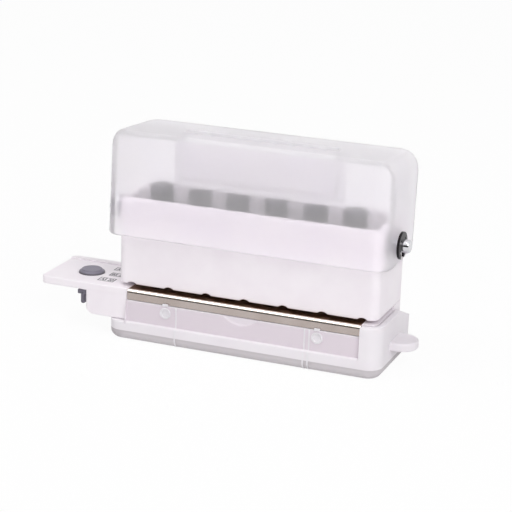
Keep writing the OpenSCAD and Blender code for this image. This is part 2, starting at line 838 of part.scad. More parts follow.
module gauge_arm() {
    bore_d = button_d + 2 * run_fit;
    color(white)
        difference() {
            union() {
                carry_z(arm_under, jaw_h)
                    arm_plan();
                carry_z(jaw_h - arm_t / 2, jaw_h + fence_h)
                    intersection() {
                        arm_plan();
                        translate([arm_left, fence_y])
                            square([-housing_x - part_gap - arm_left, fence_w]);
                    }
                carry_y(arm_y, arm_rear)
                    rounded([block_left, block_z], [arm_right, jaw_h - arm_t / 2],
                        [block_corner, 0, 0, 0]);
                post(bore_d + 2 * cup_wall, button, cup_z, jaw_h - arm_t / 2);
                box([arm_right - block_wall / 2, tongue_y, tongue_top - tongue_h],
                    [arm_right + tongue_l, tongue_y + tongue_w, tongue_top]);
            }
            box([block_left + block_wall, arm_y + block_wall, block_z - cut],
                [arm_right - block_wall, arm_rear - block_wall, arm_under]);
            post(bore_d, button, cup_z + cup_floor, jaw_h + cut);
            post(stem_d + 2 * run_fit, button, cup_z - cut, jaw_h);
        }
}

module gauge_button() {
    r = button_d / 2;
    rim = jaw_h + button_rim;
    top = jaw_h + button_h;
    color(button_grey) {
        translate([button[0], button[1], 0])
            rotate_extrude()
                polygon([[0, cap_z], [r, cap_z], [r, rim], [button_top_d / 2, top], [0, top]]);
        post(stem_d, button, hook_top - hook_t / 2, cap_z + button_rim);
        box([button[0] - hook_reach, pin_y - hook_w / 2, hook_top - hook_t],
            [button[0], pin_y + hook_w / 2, hook_top]);
        box([button[0] - hook_out - hook_t, pin_y - hook_w / 2, hook_top - hook_l],
            [button[0] - hook_out, pin_y + hook_w / 2, hook_top]);
    }
}

module button_spring() {
    color(bright_steel)
        coil_spring([button[0], button[1], button_spring_z], button_spring_d, button_wire,
            button_spring_l, button_turns);
}

chip_tray();
base_frame();
die_plate();
housing();
guide_plate();
frame_screws();
punch_pin(0);  // punch_pin_1
punch_pin(1);  // punch_pin_2
punch_pin(2);  // punch_pin_3
punch_pin(3);  // punch_pin_4
punch_pin(4);  // punch_pin_5
punch_pin(5);  // punch_pin_6
return_spring(0);  // return_spring_1
return_spring(1);  // return_spring_2
return_spring(2);  // return_spring_3
return_spring(3);  // return_spring_4
return_spring(4);  // return_spring_5
return_spring(5);  // return_spring_6
pin_rings();
press_shaft();
shaft_clip(-clip_x - run_fit - clip_t, bright_steel);  // left_clip
shaft_clip(clip_x + run_fit, black_steel);  // right_clip
handle_cover();
gauge_arm();
gauge_button();
button_spring();
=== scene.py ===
"""Looks of a desk punch: frosted press handle and chip tray, white mouldings, nickel die, dark pins.

Metres, in the part's own frame: X along the row of pins, -Y towards the paper, +Z up.
"""
import json
import math

import bpy
import numpy as np
from mathutils import Matrix, Vector


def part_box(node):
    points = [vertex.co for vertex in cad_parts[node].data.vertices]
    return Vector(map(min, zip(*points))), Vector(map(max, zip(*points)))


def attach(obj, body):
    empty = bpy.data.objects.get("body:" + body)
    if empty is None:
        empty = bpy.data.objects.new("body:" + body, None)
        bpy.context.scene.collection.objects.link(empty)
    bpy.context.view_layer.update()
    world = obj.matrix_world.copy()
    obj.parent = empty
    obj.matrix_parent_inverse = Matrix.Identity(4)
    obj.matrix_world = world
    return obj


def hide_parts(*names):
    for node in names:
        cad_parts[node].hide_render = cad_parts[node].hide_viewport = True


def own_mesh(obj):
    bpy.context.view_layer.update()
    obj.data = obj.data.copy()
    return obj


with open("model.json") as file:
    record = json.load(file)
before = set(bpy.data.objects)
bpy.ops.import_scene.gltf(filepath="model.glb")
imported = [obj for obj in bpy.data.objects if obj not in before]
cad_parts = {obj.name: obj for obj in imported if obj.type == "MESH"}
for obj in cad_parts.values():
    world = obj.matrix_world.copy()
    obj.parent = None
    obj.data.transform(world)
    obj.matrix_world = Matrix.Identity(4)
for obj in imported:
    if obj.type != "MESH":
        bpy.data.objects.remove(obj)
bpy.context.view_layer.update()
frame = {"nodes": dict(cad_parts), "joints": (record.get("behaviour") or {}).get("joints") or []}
MM = 0.001
NODES = frame["nodes"]
JOINTS = {joint["name"]: joint for joint in frame["joints"]}


def span(node):
    """Lowest and highest corner of a node at rest, as two arrays."""
    low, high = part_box(node)
    return np.array(low), np.array(high)


# Surfaces worked out as arrays

def quarter(steps=5):
    """Angles of a quarter turn, from 0 to 90 degrees."""
    return np.linspace(0, math.pi / 2, steps)


def rounded_outline(low, high, radius, corner=9, side=0):
    """Outline of a rectangle with quarter-circle corners, anticlockwise from the lower left corner.

    Each corner is centre + radius * (cos a, sin a) over a quarter turn, with one radius or four; each side after
    it holds side points. Returns the points and the outward normals, one row each.
    """
    radii = np.broadcast_to(radius, 4)[:, None]
    ends = np.array([[low[0], low[1]], [high[0], low[1]], [high[0], high[1]], [low[0], high[1]]])
    inward = np.array([[1, 1], [-1, 1], [-1, -1], [1, -1]])
    centres = ends + inward * radii
    angles = np.radians([[180], [270], [0], [90]]) + quarter(corner)
    normals = np.stack([np.cos(angles), np.sin(angles)], -1)
    corners = centres[:, None, :] + radii[:, None] * normals
    share = np.linspace(0, 1, side + 2)[1:-1][None, :, None]
    after = np.roll(corners[:, 0], -1, axis=0)[:, None, :]
    sides = corners[:, -1][:, None, :] * (1 - share) + after * share
    side_normals = np.repeat(normals[:, -1][:, None, :], side, axis=1)
    points = np.concatenate([corners, sides], axis=1).reshape(-1, 2)
    return points, np.concatenate([normals, side_normals], axis=1).reshape(-1, 2)


def ring(points, height):
    """Plan points lifted to a height, which is one number or one per point."""
    return np.column_stack([points, np.broadcast_to(height, len(points))])


def loft(rings, wrapped=False, hubs=False):
    """Closed rings of equal length joined by quads.

    The end rings are joined to each other if wrapped, and otherwise filled: with one face each, or with triangles
    round a hub at the ring's mean point.
    """
    rows = np.array(rings)
    count, around = rows.shape[:2]
    index = np.arange(count * around).reshape(count, around)
    here = index if wrapped else index[:-1]
    there = np.roll(index, -1, 0)[:len(here)]
    quads = np.stack([here, np.roll(here, -1, 1), np.roll(there, -1, 1), there], -1).reshape(-1, 4)
    points, ends = rows.reshape(-1, 3), []
    if hubs:
        for hub, edge in ((len(points), index[0][::-1]), (len(points) + 1, index[-1])):
            ends += np.stack([edge, np.roll(edge, -1), np.full(around, hub)], -1).tolist()
        points = np.concatenate([points, rows[[0, -1]].mean(axis=1)])
    elif not wrapped:
        ends = [index[0][::-1].tolist(), index[-1].tolist()]
    return points, quads.tolist() + ends


def slab(low, high, radius, fillet, steps=5):
    """Upright slab: a rounded outline that rises from low to high, with quarter-round edges below and above.

    At angle a the lower edge draws in by fillet * (1 - sin a) at height fillet * (1 - cos a), and the upper one
    mirrors it.
    """
    low, high = np.array(low), np.array(high)
    bend = quarter(steps)
    insets = fillet * np.concatenate([1 - np.sin(bend), 1 - np.cos(bend)])
    heights = np.concatenate([low[2] + fillet * (1 - np.cos(bend)), high[2] - fillet * (1 - np.sin(bend))])
    rings = [
        ring(rounded_outline(low[:2] + inset, high[:2] - inset, np.maximum(radius - inset, 0.05 * fillet))[0], height)
        for inset, height in zip(insets, heights)]
    return loft(rings)


def turned(profile, centre, axis="z", around=64, wrapped=False):
    """Profile of (radius, height) pairs turned about an axis through centre, with flat ends or wrapped to a tube."""
    radius, height = np.array(profile, float).T
    angle = np.linspace(0, 2 * math.pi, around, endpoint=False)
    flat = np.stack([radius[:, None] * np.cos(angle), radius[:, None] * np.sin(angle),
                     np.repeat(height[:, None], around, 1)], -1)
    order = {"x": (2, 0, 1), "y": (1, 2, 0), "z": (0, 1, 2)}[axis]
    return loft(flat[..., order] + np.array(centre), wrapped)


def coil(centre, mean_radius, wire_radius, height, turns, per_turn=32, sides=10):
    """Helical wire: a circle of wire_radius carried along r (cos a, sin a) with z rising evenly from end to end."""
    angle = np.linspace(0, 2 * math.pi * turns, int(per_turn * turns) + 1)
    outward = np.stack([np.cos(angle), np.sin(angle), np.zeros_like(angle)], -1)
    line = mean_radius * outward
    line[:, 2] = wire_radius + (height - 2 * wire_radius) * angle / angle[-1]
    bend = np.linspace(0, 2 * math.pi, sides, endpoint=False)
    up = np.array([0, 0, 1.0])
    rings = line[:, None, :] + wire_radius * (
        np.cos(bend)[None, :, None] * outward[:, None, :] - np.sin(bend)[None, :, None] * up)
    return loft(rings + np.array(centre))


def joined(*shells):
    """Several shells as one list of points and faces."""
    points, faces, start = [], [], 0
    for shell_points, shell_faces in shells:
        points.append(shell_points)
        faces += [[start + i for i in face] for face in shell_faces]
        start += len(shell_points)
    return np.concatenate(points), faces


def piece(name, shell, body, material, replaces=(), sharp=40):
    """Mesh object of a shell that rides on a body, with smooth faces between edges sharper than an angle."""
    points, faces = shell
    mesh = bpy.data.meshes.new(name)
    mesh.from_pydata(points.tolist(), [], faces)
    mesh.validate()
    mesh.polygons.foreach_set("use_smooth", np.ones(len(mesh.polygons), bool))
    mesh.set_sharp_from_angle(angle=math.radians(sharp))
    mesh.materials.append(material)
    made = bpy.data.objects.new(name, mesh)
    bpy.context.scene.collection.objects.link(made)
    even = made.modifiers.new("even_normals", "WEIGHTED_NORMAL")
    even.keep_sharp = True
    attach(made, body)
    if replaces:
        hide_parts(*replaces)
    return made


# Finishes

def grain(tree, scale, detail=3.0):
    """Noise on object coordinates, with its scale in waves per metre."""
    where = tree.nodes.new("ShaderNodeTexCoord")
    noise = tree.nodes.new("ShaderNodeTexNoise")
    noise.inputs["Scale"].default_value = scale
    noise.inputs["Detail"].default_value = detail
    tree.links.new(where.outputs["Object"], noise.inputs["Vector"])
    return noise


def finish(name, light, dark, rough, mottle=150, texture=4000, depth=4e-6, **sockets):
    """Shader whose colour drifts between two tones, with a fine grain in its roughness and its bump."""
    material = bpy.data.materials.new(name)
    material.use_nodes = True
    tree = material.node_tree
    shader = tree.nodes["Principled BSDF"]
    drift_low, drift_high, bump_strength = 0.35, 0.65, 0.5
    drift = grain(tree, mottle)
    tones = tree.nodes.new("ShaderNodeValToRGB")
    tones.color_ramp.elements[0].position = drift_low
    tones.color_ramp.elements[1].position = drift_high
    tones.color_ramp.elements[0].color = (*dark, 1)
    tones.color_ramp.elements[1].color = (*light, 1)
    tree.links.new(drift.outputs["Fac"], tones.inputs["Fac"])
    tree.links.new(tones.outputs["Color"], shader.inputs["Base Color"])
    fine = grain(tree, texture)
    spread = tree.nodes.new("ShaderNodeMapRange")
    spread.inputs["To Min"].default_value = rough[0]
    spread.inputs["To Max"].default_value = rough[1]
    tree.links.new(fine.outputs["Fac"], spread.inputs["Value"])
    tree.links.new(spread.outputs["Result"], shader.inputs["Roughness"])
    bump = tree.nodes.new("ShaderNodeBump")
    bump.inputs["Strength"].default_value = bump_strength
    bump.inputs["Distance"].default_value = depth
    tree.links.new(fine.outputs["Fac"], bump.inputs["Height"])
    tree.links.new(bump.outputs["Normal"], shader.inputs["Normal"])
    for socket, value in sockets.items():
        shader.inputs[socket.replace("_", " ")].default_value = value
    return material


def paint_shading(material, low, high, soft, colour):
    """Paints a second tone inside a box of the part, in millimetres, which fades out over a soft margin; every use
    here is a painted highlight or painted shade.
    """
    tree = material.node_tree
    shader = tree.nodes["Principled BSDF"]
    base = shader.inputs["Base Color"].links[0].from_socket
    low, high = np.array(low) * MM, np.array(high) * MM
    value = tree.nodes.new("ShaderNodeTexCoord").outputs["Object"]
    for step, amount in (("SUBTRACT", (low + high) / 2), ("ABSOLUTE", None), ("SUBTRACT", (high - low) / 2)):
        node = tree.nodes.new("ShaderNodeVectorMath")
        node.operation = step
        tree.links.new(value, node.inputs[0])
        if amount is not None:
            node.inputs[1].default_value = amount
        value = node.outputs["Vector"]
    parts = tree.nodes.new("ShaderNodeSeparateXYZ")
    tree.links.new(value, parts.inputs["Vector"])
    outside = parts.outputs["X"]
    for axis in "YZ":
        larger = tree.nodes.new("ShaderNodeMath")
        larger.operation = "MAXIMUM"
        tree.links.new(outside, larger.inputs[0])
        tree.links.new(parts.outputs[axis], larger.inputs[1])
        outside = larger.outputs[0]
    share = tree.nodes.new("ShaderNodeMapRange")
    share.interpolation_type = "SMOOTHSTEP"
    share.inputs["From Max"].default_value = soft * MM
    share.inputs["To Min"].default_value = 1
    share.inputs["To Max"].default_value = 0
    mix = tree.nodes.new("ShaderNodeMix")
    mix.data_type = "RGBA"
    mix.inputs["B"].default_value = (*colour, 1)
    tree.links.new(outside, share.inputs["Value"])
    tree.links.new(share.outputs["Result"], mix.inputs["Factor"])
    tree.links.new(base, mix.inputs["A"])
    tree.links.new(mix.outputs["Result"], shader.inputs["Base Color"])


def tone(red, green, blue):
    """Linear colour of a tone written as eye-value shares from 0 to 255."""
    value = np.array([red, green, blue]) / 255
    return tuple(np.where(value <= 0.04045, value / 12.92, ((value + 0.055) / 1.055) ** 2.4))


white = finish("white_moulding", tone(247, 241, 246), tone(244, 237, 243), (0.38, 0.5))
frosted = finish("frosted_moulding", tone(253, 251, 253), tone(251, 249, 252), (0.36, 0.42),
                 Transmission_Weight=0.82, IOR=1.14)
milky = finish("milky_moulding", tone(251, 247, 251), tone(249, 244, 249), (0.45, 0.52),
               Transmission_Weight=0.16, IOR=1.12)
pad_plastic = finish("pad_moulding", tone(252, 250, 253), tone(248, 246, 250), (0.42, 0.5), Transmission_Weight=0.3,
                     IOR=1.12)
nickel = finish("nickel_plate", tone(196, 184, 178), tone(188, 176, 170), (0.14, 0.22), Metallic=1.0)
die_steel = finish("die_plate_steel", tone(188, 177, 172), tone(180, 168, 162), (0.16, 0.24), Metallic=1.0)
dark_steel = finish("hardened_steel", tone(66, 62, 70), tone(52, 49, 58), (0.28, 0.4), Metallic=1.0)
bright_steel = finish("bright_steel", tone(215, 215, 218), tone(200, 200, 205), (0.08, 0.16), Metallic=1.0)
black_steel = finish("phosphated_steel", tone(46, 42, 46), tone(36, 33, 36), (0.3, 0.42), Metallic=0.8)
grey_plastic = finish("button_moulding", tone(128, 124, 138), tone(120, 116, 130), (0.4, 0.5))
print_ink = finish("grey_print", tone(84, 82, 90), tone(74, 72, 80), (0.5, 0.6))
SLOTS = {"white_plastic": white, "frosted_plastic": frosted, "milky_plastic": milky, "nickel_steel": nickel,
         "dark_steel": dark_steel, "bright_steel": bright_steel, "black_steel": black_steel,
         "grey_plastic": grey_plastic}

for node in NODES.values():
    node.data.materials[0] = SLOTS[node.data.materials[0].name]

# Painted light and shade in the colours: a painted highlight on the die's top, painted shade on its rear under the
# housing, on the tray's recessed panel, scoop and foot, and on the button's skirt
# Painted highlight: the die's top face and upper fold are lighter
paint_shading(die_steel, (-40, -20, 12.1), (40, 20, 20), 0.5, tone(236, 228, 218))
# Painted shade: the die's top behind the front edge, under the housing, is a darker warm brown
paint_shading(die_steel, (-40, -10.2, 0), (40, 20, 20), 0.5, tone(166, 132, 102))
NODES["die_plate"].data.materials[0] = die_steel
# Painted shade: the tray's recessed front panel is darker
paint_shading(milky, (-28.7, -11.9, 4.9), (28.7, -11.45, 9.7), 0.12, tone(236, 226, 234))
# Painted shade: the thumb scoop in the panel is darker
paint_shading(milky, (-4.7, -11.44, 7.4), (4.7, -10.9, 9.9), 0.1, tone(243, 235, 242))
# Painted shade: the tray's lowest 2.35 mm, its round bottom edge, is grey
paint_shading(milky, (-40, -20, -1), (40, 20, 2.35), 0.2, tone(206, 200, 204))
# Painted shade: the lower part of the button's cap is darker
paint_shading(grey_plastic, (-60, -20, 11), (0, 20, 12.6), 0.25, tone(92, 89, 96))


# Press handle

def handle_shell():
    """Shell of the cover about the shaft's axis, turned back by its lean, with a pressing channel open in its top.

    Rounded outlines rise from the sloping lip. Over the top each draws in by across * (1 - cos a) and stays below
    the top by deep * (1 - sin a), a quarter ellipse with its own sizes at the ends, front and rear, blended by the
    squared normals, while the corners' radius falls evenly to half.
    """
    half, front, rear, drop, rear_drop, rise, wall = np.array([34.4, 8.9, 14.2, 4.9, 2.9, 19.85, 1.4]) * MM
    corner, rear_corner, least, lip = np.array([3.6, 4.6, 0.3, 0.35]) * MM
    across, deep = np.array([[3.2, 1.0, 3.8], [5.5, 1.0, 5.5]]) * MM
    channel_x, channel_y, channel_z, channel_wall, soft = np.array([19.8, 3.2, 7.4, 1.2, 0.2]) * MM
    channel_corner, mouth_corner, mouth_edge = np.array([0.4, 1.2, 0.35]) * MM
    lean, corner_steps, side_steps, dome_angles = math.radians(3.7), 12, 8, quarter(10)
    corners = np.array([corner, corner, rear_corner, rear_corner])

    def outline(in_x, in_front, in_rear, radii):
        low, high = (in_x - half, in_front - front), (half - in_x, rear - in_rear)
        return rounded_outline(low, high, radii, corner_steps, side_steps)

    def upright(inset, lift):
        points = outline(inset, inset, inset, corners - inset)[0]
        share = (points[:, 1] + front) / (front + rear)
        return ring(points, lift - drop + share * (drop - rear_drop))

    def dome(inset, angles):
        draw = np.maximum(across - inset, least)
        end, ahead, behind = np.maximum(deep - inset, least)
        rings = []
        for angle in angles:
            insets = inset + draw * (1 - math.cos(angle))
            points, normals = outline(*insets, (corners - inset) * (1 - angle / math.pi))
            bend = np.where(normals[:, 1] < 0, ahead, behind) * normals[:, 1] ** 2 + end * normals[:, 0] ** 2
            rings.append(ring(points, rise - inset - bend * (1 - math.sin(angle))))
        return rings

    def channel(inset, height, radius=channel_corner):
        reach = np.array([channel_x, channel_y]) - inset
        return ring(rounded_outline(-reach, reach, radius, corner_steps, side_steps)[0], height)

    def mouth(angle):
        inset = channel_wall - mouth_edge * (1 - math.sin(angle))
        return channel(inset, rise - mouth_edge * (1 - math.cos(angle)), mouth_corner + channel_wall - inset)

    rings = [channel(soft, channel_z), channel(0, channel_z + soft), channel(0, rise - wall)]
    rings += dome(wall, dome_angles[::-1])
    rings += [upright(wall - lip * (1 - math.cos(a)), lip * (1 - math.sin(a))) for a in quarter()]
    rings += [upright(lip * (1 - math.sin(a)), lip * (1 - math.cos(a))) for a in quarter()]
    rings += dome(0, dome_angles)
    rings += [mouth(a) for a in quarter()]
    rings += [channel(channel_wall, channel_z + channel_wall, mouth_corner)]
    points, faces = loft(rings, hubs=True)
    turn = np.array([[1, 0, 0], [0, math.cos(lean), math.sin(lean)], [0, -math.sin(lean), math.cos(lean)]])
    pivot = np.array(JOINTS["cover_rock"]["pos_m"])
    return points @ turn.T + pivot, faces


piece("frosted_handle", handle_shell(), "handle", frosted, ["handle_cover"])


# Housing

HOUSING_LOW, HOUSING_HIGH = span("housing")
FLOOR_T, NOTCH_REACH, PITCH, TINY = np.array([3.8, 2.4, 9.5, 0.05]) * MM
FLOOR_TOP = HOUSING_LOW[2] + FLOOR_T
PIN_COUNT = 6


def slot_window(rows, columns, outer_row, inner_row, count, axis_y, ends, radius):
    """Faces to leave out and to add for a slot through a wall, whose edge points are moved onto the slot's outline.

    The window spans count rows from outer_row upwards and from inner_row downwards. A point on its edge goes to the
    nearest point of the slot's middle line plus radius * (unit vector from there).
    """
    around = rows.shape[1]
    steps, first, last = np.arange(count), columns[0], columns[-1]
    edge = np.concatenate([
        np.stack([np.zeros_like(columns), columns], -1), np.stack([steps[1:], np.full(count - 1, last)], -1),
        np.stack([np.full(len(columns) - 1, count - 1), columns[-2::-1]], -1),
        np.stack([steps[-2:0:-1], np.full(count - 2, first)], -1)])
    loops, gone = [], []
    for level in (outer_row + steps, inner_row - steps):
        places = rows[level[edge[:, 0]], edge[:, 1]]
        line = np.column_stack([np.full(len(places), axis_y), np.clip(places[:, 2], *ends)])
        away = places[:, 1:] - line
        places[:, 1:] = line + radius * away / np.linalg.norm(away, axis=1)[:, None]
        rows[level[edge[:, 0]], edge[:, 1]] = places
        loops.append(level[edge[:, 0]] * around + edge[:, 1])
        gone.append((np.minimum(level[:-1], level[1:])[:, None] * around + columns[:-1]).ravel())
    outer, inner = loops
    added = np.stack([outer, np.roll(outer, -1), np.roll(inner, -1), inner], -1)
    return np.concatenate(gone), added.tolist()


def housing_walls():
    """Walls of the housing: rounded outlines rise from the sight notches to the chamfered rim and go down inside.

    A notch lifts the lower front edge by sqrt(r^2 - dx^2) - (r - h), a segment of a circle. Each end wall has an
    upright slot for the shaft's travel.
    """
    low, high = HOUSING_LOW, HOUSING_HIGH
    wall, chamfer, fillet, break_edge = np.array([1.6, 0.8, 0.3, 0.15]) * MM
    notch_w, notch_h, near = np.array([2.4, 0.45, 0.01]) * MM
    slot_r, margin = np.array([1.65, 0.4]) * MM
    corner_steps, side_steps, slot_rows = 9, 400, 14
    corners = np.array([2.0, 2.0, 0.8, 0.8]) * MM
    notch_r = (notch_w ** 2 / 4 + notch_h ** 2) / (2 * notch_h)
    middles = PITCH * (np.arange(PIN_COUNT + 1) - PIN_COUNT / 2)
    axis_y, axis_z = JOINTS["cover_rock"]["pos_m"][1:]
    slot_ends = (axis_z - JOINTS["press"]["range_m"][1], axis_z)
    slot_levels = np.linspace(slot_ends[0] - slot_r - margin, slot_ends[1] + slot_r + margin, slot_rows)

    def outline(inset):
        radii = np.maximum(corners - inset, TINY)
        return rounded_outline(low[:2] + inset, high[:2] - inset, radii, corner_steps, side_steps)[0]

    def lifted(inset, height):
        points = outline(inset)
        away = np.abs(points[:, :1] - middles).min(axis=1)
        lift = np.sqrt(np.maximum(notch_r ** 2 - away ** 2, 0)) - (notch_r - notch_h)
        on_front = points[:, 1] < low[1] + NOTCH_REACH + near
        return ring(points, height + np.where(on_front, np.maximum(lift, 0), 0))

    rings = [ring(outline(NOTCH_REACH), low[2]), lifted(NOTCH_REACH, low[2])]
    rings += [lifted(fillet * (1 - math.sin(a)), low[2] + fillet * (1 - math.cos(a))) for a in quarter()]
    rings += [ring(outline(0), low[2] + 2 * notch_h)]
    outer_row = len(rings)
    rings += [ring(outline(0), level) for level in slot_levels]
    rings += [ring(outline(0), high[2] - chamfer - break_edge), ring(outline(break_edge / 3), high[2] - chamfer),
              ring(outline(chamfer), high[2] - break_edge / 3), ring(outline(chamfer + break_edge), high[2]),
              ring(outline(wall - break_edge), high[2]), ring(outline(wall), high[2] - break_edge)]
    rings += [ring(outline(wall), level) for level in slot_levels[::-1]]
    inner_row = len(rings) - 1
    rings += [ring(outline(wall), FLOOR_TOP), ring(outline(NOTCH_REACH), FLOOR_TOP)]

    rows = np.array(rings)
    gone, added = [], []
    for side in (1, 3):
        columns = side * (corner_steps + side_steps) + corner_steps + np.arange(side_steps)
        columns = columns[np.abs(rows[outer_row, columns, 1] - axis_y) < slot_r + margin]
        left_out, joins = slot_window(rows, columns, outer_row, inner_row, slot_rows, axis_y, slot_ends, slot_r)
        gone.append(left_out)
        added += joins
    points, faces = loft(rows, wrapped=True)
    kept = np.delete(np.array(faces), np.concatenate(gone), axis=0)
    used, place = np.unique(np.concatenate([kept, added]), return_inverse=True)
    return points[used], place.reshape(-1, 4).tolist()


def around_hole(points, centre, radius):
    """Partners of plan points on a hole's edge: centre + radius * (unit vector towards each point)."""
    towards = points - centre
    return centre + radius * towards / np.linalg.norm(towards, axis=1)[:, None]


def housing_floor():
    """Floor of the housing in cells, one round each pin: rings go out from its bore, up the edge and in again."""
    bore_r, overlap = np.array([2.8, 0.01]) * MM
    corner_steps, side_steps = 3, 24
    low, high = HOUSING_LOW[:2] + NOTCH_REACH - overlap, HOUSING_HIGH[:2] - NOTCH_REACH + overlap
    limits = np.concatenate([[low[0]], PITCH * (np.arange(1, PIN_COUNT) - PIN_COUNT / 2), [high[0]]])
    pin_y = JOINTS["cover_rock"]["pos_m"][1]
    cells = []
    for number in range(PIN_COUNT):
        left, right = limits[number:number + 2] + (-overlap, overlap)
        edge = rounded_outline((left, low[1]), (right, high[1]), TINY, corner_steps, side_steps)[0]
        bore = around_hole(edge, np.array([PITCH * (number + 0.5 - PIN_COUNT / 2), pin_y]), bore_r)
        cells.append(loft([ring(bore, HOUSING_LOW[2]), ring(edge, HOUSING_LOW[2]), ring(edge, FLOOR_TOP),
                           ring(bore, FLOOR_TOP)], wrapped=True))
    return joined(*cells)


housing_shell = joined(housing_walls(), housing_floor())
piece("housing_moulding", housing_shell, "frame", white, ["housing"])


# Gauge arm, its button and its marks

ARM_LOW, ARM_HIGH = span("gauge_arm")
DIE_LOW, DIE_HIGH = span("die_plate")
BUTTON_LOW, BUTTON_HIGH = span("gauge_button")
JAW = DIE_HIGH[2]
ARM_GAP, ARM_T, CUP_H, BORE_GAP = np.array([0.15, 1.9, 1.5, 0.05]) * MM
ARM_RIGHT = DIE_LOW[0] - ARM_GAP
ARM_UNDER = JAW - ARM_T
BUTTON_R = (BUTTON_HIGH[1] - BUTTON_LOW[1]) / 2
BUTTON_AT = np.array([BUTTON_HIGH[0] - BUTTON_R, (BUTTON_LOW[1] + BUTTON_HIGH[1]) / 2])
CUP_FLOOR = ARM_UNDER - CUP_H
BORE_R = BUTTON_R + BORE_GAP


def arm_plate():
    """Plate with a round hole: rings go up its outer edge, over the top to the hole and down inside it.

    Each outline point has its partner on the hole's edge.
    """
    corner, fillet, break_edge, least = np.array([1.5, 0.3, 0.12, 0.02]) * MM
    corner_steps, side_steps = 9, 24
    low, high = ARM_LOW[:2], np.array([ARM_RIGHT, ARM_HIGH[1]])

    def edge(inset, height):
        radii = np.maximum(np.array([corner, fillet, fillet, corner]) - inset, least)
        return ring(rounded_outline(low + inset, high - inset, radii, corner_steps, side_steps)[0], height)

    def hole(radius, height):
        return ring(around_hole(edge(0, 0)[:, :2], BUTTON_AT, radius), height)

    rings = [hole(BORE_R, ARM_UNDER)]
    rings += [edge(fillet * (1 - math.sin(a)), ARM_UNDER + fillet * (1 - math.cos(a))) for a in quarter()]
    rings += [edge(fillet * (1 - math.cos(a)), JAW - fillet * (1 - math.sin(a))) for a in quarter()]
    rings += [hole(BORE_R + break_edge, JAW), hole(BORE_R, JAW - break_edge)]
    return loft(rings, wrapped=True)


def arm_block():
    """Open box below the plate, whose lower end rises as r - sqrt(r^2 - (r - dx)^2) at its outer corner."""
    length, height, wall, round_end, corner, fillet = np.array([10.9, 7.7, 1.4, 2.0, 0.5, 0.3]) * MM
    corner_steps, side_steps = 9, 60
    low, high = np.array([ARM_RIGHT - length, ARM_LOW[1]]), np.array([ARM_RIGHT, ARM_HIGH[1]])

    def outline(inset):
        radius = max(corner - inset, TINY)
        return rounded_outline(low + inset, high - inset, radius, corner_steps, side_steps)[0]

    def bottom(inset, lift):
        points = outline(inset)
        short = np.maximum(round_end - (points[:, 0] - low[0]), 0)
        return ring(points, JAW - height + lift + round_end - np.sqrt(np.maximum(round_end ** 2 - short ** 2, 0)))

    rings = [ring(outline(wall), ARM_UNDER), bottom(wall, 0)]
    rings += [bottom(fillet * (1 - math.sin(a)), fillet * (1 - math.cos(a))) for a in quarter()]
    rings += [ring(outline(0), ARM_UNDER + 0.5 * fillet)]
    return loft(rings)


def arm_shell():
    """Plate, rear fence, block, cup below the button, and the tongue that slides in the base."""
    fence_w, fence_end, tongue_y, tongue_w, tongue_h = np.array([2.0, 0.3, 1.2, 2.0, 2.2]) * MM
    tongue_top, cup_wall, floor_t, stem_bore = np.array([8.75, 0.9, 0.4, 1.55]) * MM
    soft, fence_corners = 0.15 * MM, np.array([0.2, 0.2, 0.2, 1.5]) * MM
    fence = slab((ARM_LOW[0], ARM_HIGH[1] - fence_w, JAW - soft), (HOUSING_LOW[0] - fence_end, *ARM_HIGH[1:]),
                 fence_corners, soft)
    tongue = slab((ARM_RIGHT - soft, tongue_y, tongue_top - tongue_h), (ARM_HIGH[0], tongue_y + tongue_w, tongue_top),
                  soft, soft)
    outer = BORE_R + cup_wall
    cup = turned([(stem_bore, CUP_FLOOR), (outer - soft, CUP_FLOOR), (outer, CUP_FLOOR + soft),
                  (outer, ARM_UNDER + soft), (BORE_R, ARM_UNDER + soft), (BORE_R, CUP_FLOOR + floor_t),
                  (stem_bore, CUP_FLOOR + floor_t)], (*BUTTON_AT, 0), wrapped=True)
    return joined(arm_plate(), fence, arm_block(), cup, tongue)


def button_shell():
    """Turned cap with sloping sides and a soft top edge on its stem, and the hook at the stem's end."""
    skirt, rim, top_r, stem_r, soft = np.array([1.2, 0.2, 2.5, 1.5, 0.2]) * MM
    hook_drop, hook_t, hook_w, hook_out, hook_end = np.array([1.2, 1.1, 2.0, 1.55, 0.45]) * MM
    cap, hook_top, top = JAW - skirt, CUP_FLOOR - hook_drop, BUTTON_HIGH[2]
    profile = [(stem_r, hook_top - hook_t / 2), (stem_r, cap), (BUTTON_R - soft, cap), (BUTTON_R, cap + soft),
               (BUTTON_R, JAW + rim - soft / 2), (BUTTON_R - soft / 4, JAW + rim + soft / 2)]
    profile += [(top_r - soft * (1 - math.cos(a)), top - soft * (1 - math.sin(a))) for a in quarter(6)]
    left, inner = BUTTON_LOW[0], BUTTON_AT[0] - hook_out
    front, rear = BUTTON_AT[1] - hook_w / 2, BUTTON_AT[1] + hook_w / 2
    bar = slab((left, front, hook_top - hook_t), (BUTTON_AT[0], rear, hook_top), soft, soft)
    leg = slab((inner - hook_t, front, BUTTON_LOW[2]), (inner, rear, hook_top), hook_end, hook_end)
    return joined(turned(profile, (*BUTTON_AT, 0)), bar, leg)


def frame_lines(low, high, line):
    """Flat rectangular ring of a line's width, as four quads between an outer and an inner outline."""
    low, high = np.array(low), np.array(high)
    corners = [np.array([low, (high[0], low[1]), high, (low[0], high[1])]) for low, high in
               ((low, high), (low + line, high - line))]
    here = np.arange(4)
    faces = np.stack([here, np.roll(here, -1), np.roll(here, -1) + 4, here + 4], -1)
    return ring(np.concatenate(corners), 0), faces.tolist()


